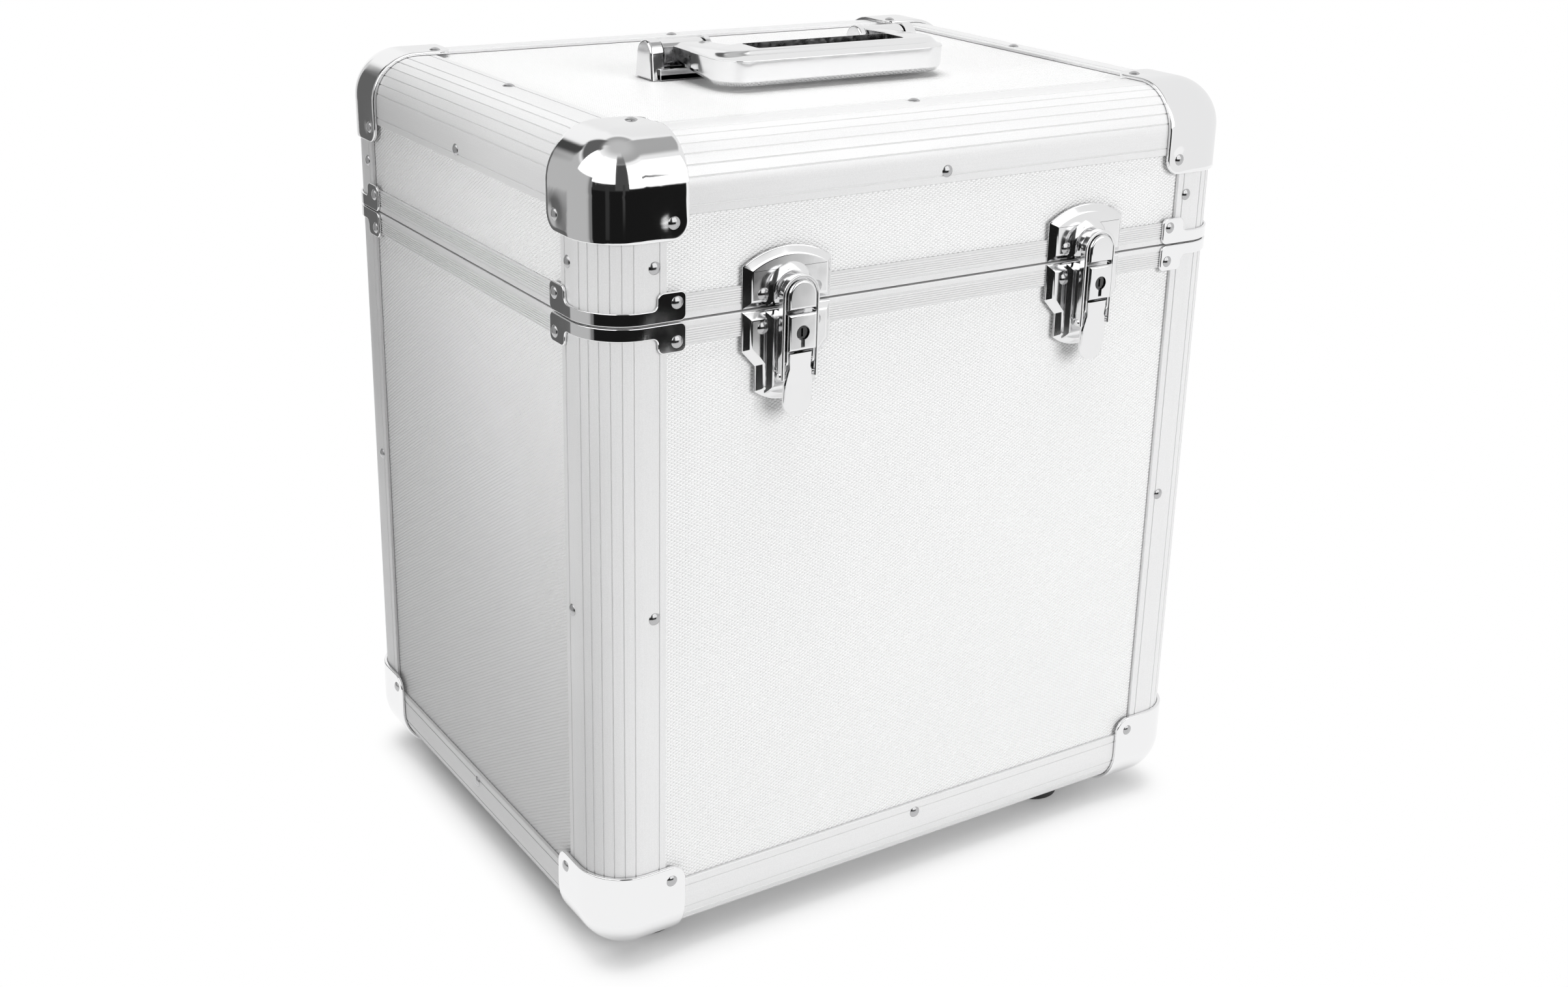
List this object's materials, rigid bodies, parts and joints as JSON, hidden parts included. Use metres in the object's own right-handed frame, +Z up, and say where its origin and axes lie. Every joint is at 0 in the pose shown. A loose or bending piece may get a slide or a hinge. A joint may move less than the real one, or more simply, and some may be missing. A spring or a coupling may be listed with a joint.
{
  "type": "record carrying case",
  "caption": "Tall panelled carrying case for records: lift-back lid, grooved aluminium corner extrusions, ball corners, key latches and a folding handle.",
  "frame": {"origin": "bottom centre of the whole object's box, on the surface the feet stand on", "axes": "+Z up, latches towards -Y, hinges towards +Y, +X to the right of somebody facing the latches"},
  "size_m": [0.3538, 0.2977, 0.4061],
  "materials": {
    "laminate": "white panel laminate with a small diamond relief",
    "aluminium": "satin anodised, grooved",
    "ribbed_aluminium": "satin anodised, fine ribs",
    "corner_chrome": "polished plate",
    "latch_chrome": "polished plate",
    "hinge_steel": "plated steel",
    "lock_steel": "dark plated lock barrel",
    "foot_rubber": "matt black",
    "foam_lining": "black foam with a napped face"
  },
  "bodies": {
    "case_body": {"body_lining": "foam_lining", "body_panel_back": "laminate", "body_panel_front": "laminate", "body_panel_left": "laminate", "body_panel_right": "laminate", "body_post_back_left": "aluminium", "body_post_back_right": "aluminium", "body_post_front_left": "aluminium", "body_post_front_right": "aluminium", "body_rim": "ribbed_aluminium", "bottom_corner_back_left": "corner_chrome", "bottom_corner_back_right": "corner_chrome", "bottom_corner_front_left": "corner_chrome", "bottom_corner_front_right": "corner_chrome", "bottom_edge_back": "aluminium", "bottom_edge_front": "aluminium", "bottom_edge_left": "aluminium", "bottom_edge_right": "aluminium", "bottom_panel": "laminate", "foot_back_left": "foot_rubber", "foot_back_right": "foot_rubber", "foot_front_left": "foot_rubber", "foot_front_right": "foot_rubber", "hinge_body_left": "hinge_steel", "hinge_body_right": "hinge_steel", "latch_base_left": "latch_chrome", "latch_base_right": "latch_chrome"},
    "lid": {"handle_mount_left": "latch_chrome", "handle_mount_right": "latch_chrome", "hinge_lid_left": "hinge_steel", "hinge_lid_right": "hinge_steel", "lid_lining": "foam_lining", "lid_panel_back": "laminate", "lid_panel_front": "laminate", "lid_panel_left": "laminate", "lid_panel_right": "laminate", "lid_post_back_left": "aluminium", "lid_post_back_right": "aluminium", "lid_post_front_left": "aluminium", "lid_post_front_right": "aluminium", "lid_rim": "ribbed_aluminium", "strike_left": "latch_chrome", "strike_right": "latch_chrome", "top_corner_back_left": "corner_chrome", "top_corner_back_right": "corner_chrome", "top_corner_front_left": "corner_chrome", "top_corner_front_right": "corner_chrome", "top_edge_back": "aluminium", "top_edge_front": "aluminium", "top_edge_left": "aluminium", "top_edge_right": "aluminium", "top_panel": "laminate"},
    "handle": {"handle": "latch_chrome"},
    "lever_left": {"lever_left": "latch_chrome"},
    "lever_right": {"lever_right": "latch_chrome"},
    "bail_left": {"bail_left": "latch_chrome"},
    "bail_right": {"bail_right": "latch_chrome"},
    "lock_left": {"lock_cylinder_left": "lock_steel"},
    "lock_right": {"lock_cylinder_right": "lock_steel"}
  },
  "joints": [
    {"name": "lid_hinge", "type": "hinge", "parent": "case_body", "child": "lid", "pos_m": [0, 0.1457, 0.312], "axis": [-1, 0, 0], "range_deg": [0, 100]},
    {"name": "handle_fold", "type": "hinge", "parent": "lid", "child": "handle", "pos_m": [0, 0.0031, 0.3981], "axis": [-1, 0, 0], "range_deg": [0, 90]},
    {"name": "lever_left_hinge", "type": "hinge", "parent": "case_body", "child": "lever_left", "pos_m": [-0.084, -0.1456, 0.29], "axis": [-1, 0, 0], "range_deg": [0, 110]},
    {"name": "bail_left_hinge", "type": "hinge", "parent": "lever_left", "child": "bail_left", "pos_m": [-0.084, -0.1447, 0.2835], "axis": [-1, 0, 0], "range_deg": [-155, 0]},
    {"name": "lock_left_turn", "type": "hinge", "parent": "case_body", "child": "lock_left", "pos_m": [-0.084, -0.148, 0.3028], "axis": [0, 1, 0], "range_deg": [0, 90]},
    {"name": "lever_right_hinge", "type": "hinge", "parent": "case_body", "child": "lever_right", "pos_m": [0.084, -0.1456, 0.29], "axis": [-1, 0, 0], "range_deg": [0, 110]},
    {"name": "bail_right_hinge", "type": "hinge", "parent": "lever_right", "child": "bail_right", "pos_m": [0.084, -0.1447, 0.2835], "axis": [-1, 0, 0], "range_deg": [-155, 0]},
    {"name": "lock_right_turn", "type": "hinge", "parent": "case_body", "child": "lock_right", "pos_m": [0.084, -0.148, 0.3028], "axis": [0, 1, 0], "range_deg": [0, 90]}
  ],
  "couplings": [
    {"joint": "bail_left_hinge", "follows": "lever_left_hinge", "ratio": -1.4},
    {"joint": "bail_right_hinge", "follows": "lever_right_hinge", "ratio": -1.4}
  ]
}
